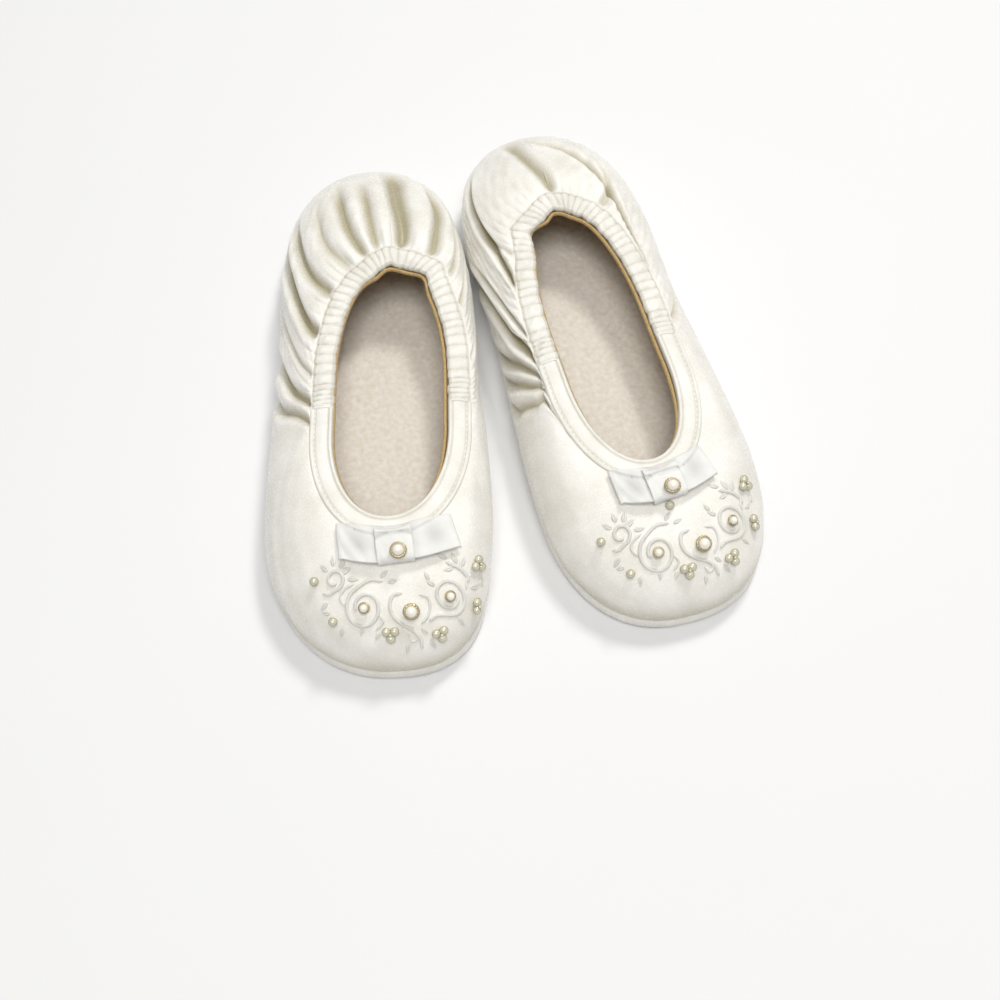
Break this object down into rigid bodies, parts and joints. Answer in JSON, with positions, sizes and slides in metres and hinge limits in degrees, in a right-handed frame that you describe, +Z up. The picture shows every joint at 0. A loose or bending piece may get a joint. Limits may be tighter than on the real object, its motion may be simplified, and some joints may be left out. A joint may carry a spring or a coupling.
{
  "type": "pair of spa slippers",
  "caption": "Pair of soft satin slippers with padded soles, an elastic gathered heel and throat, a flat ribbon bow, and pearl-set scroll embroidery on each toe.",
  "frame": {"origin": "the middle of the pair's plan box, on the floor", "axes": "+Z up, +Y from the toes to the heels, +X to the slipper of the wearer's left foot"},
  "size_m": [0.2052, 0.2502, 0.0478],
  "materials": {
    "satin": "ivory polyester satin with a broad sheen, gathered at the heel",
    "ribbon": "white single-face satin ribbon",
    "lining_cloth": "tan brushed lining cloth",
    "terry": "cream short-pile terry over foam",
    "foam": "matte open-cell foam",
    "suede": "beige suede sole",
    "elastic": "woven elastic tape",
    "thread": "silvery ivory rayon embroidery thread",
    "pearl": "cream imitation pearl",
    "bead": "champagne lustre bead"
  },
  "bodies": {
    "right_slipper": {"right_bow_knot": "ribbon", "right_bow_left_loop": "ribbon", "right_bow_pearl": "pearl", "right_bow_right_loop": "ribbon", "right_centre_flourish": "thread", "right_elastic_casing": "satin", "right_front_bead_cluster": "bead", "right_inner_quarter": "satin", "right_insole": "terry", "right_large_pearl": "pearl", "right_left_pearl": "pearl", "right_left_scroll": "thread", "right_lining": "lining_cloth", "right_midsole": "foam", "right_outer_quarter": "satin", "right_outsole": "suede", "right_right_bead_cluster": "bead", "right_right_bead_pair": "bead", "right_right_scroll": "thread", "right_scroll_pearl": "pearl", "right_small_pearl": "pearl", "right_sole_rim": "satin", "right_throat_binding": "satin", "right_throat_elastic": "elastic", "right_upper_left_curl": "thread", "right_upper_left_pearl": "pearl", "right_upper_right_bead_cluster": "bead", "right_upper_right_spray": "thread", "right_vamp": "satin"},
    "left_slipper": {"left_bow_bead": "bead", "left_bow_knot": "ribbon", "left_bow_left_loop": "ribbon", "left_bow_pearl": "pearl", "left_bow_right_loop": "ribbon", "left_centre_flourish": "thread", "left_elastic_casing": "satin", "left_front_bead_cluster": "bead", "left_inner_quarter": "satin", "left_insole": "terry", "left_large_pearl": "pearl", "left_left_pearl": "pearl", "left_left_scroll": "thread", "left_lining": "lining_cloth", "left_midsole": "foam", "left_outer_quarter": "satin", "left_outsole": "suede", "left_right_bead_cluster": "bead", "left_right_bead_pair": "bead", "left_right_scroll": "thread", "left_scroll_pearl": "pearl", "left_small_pearl": "pearl", "left_sole_rim": "satin", "left_throat_binding": "satin", "left_throat_elastic": "elastic", "left_upper_left_curl": "thread", "left_upper_left_pearl": "pearl", "left_upper_right_bead_cluster": "bead", "left_upper_right_spray": "thread", "left_vamp": "satin"}
  },
  "joints": [
    {"name": "left_slipper_lift", "type": "slide", "parent": "right_slipper", "child": "left_slipper", "axis": [0, 0, 1], "range_m": [0, 0.12]}
  ]
}
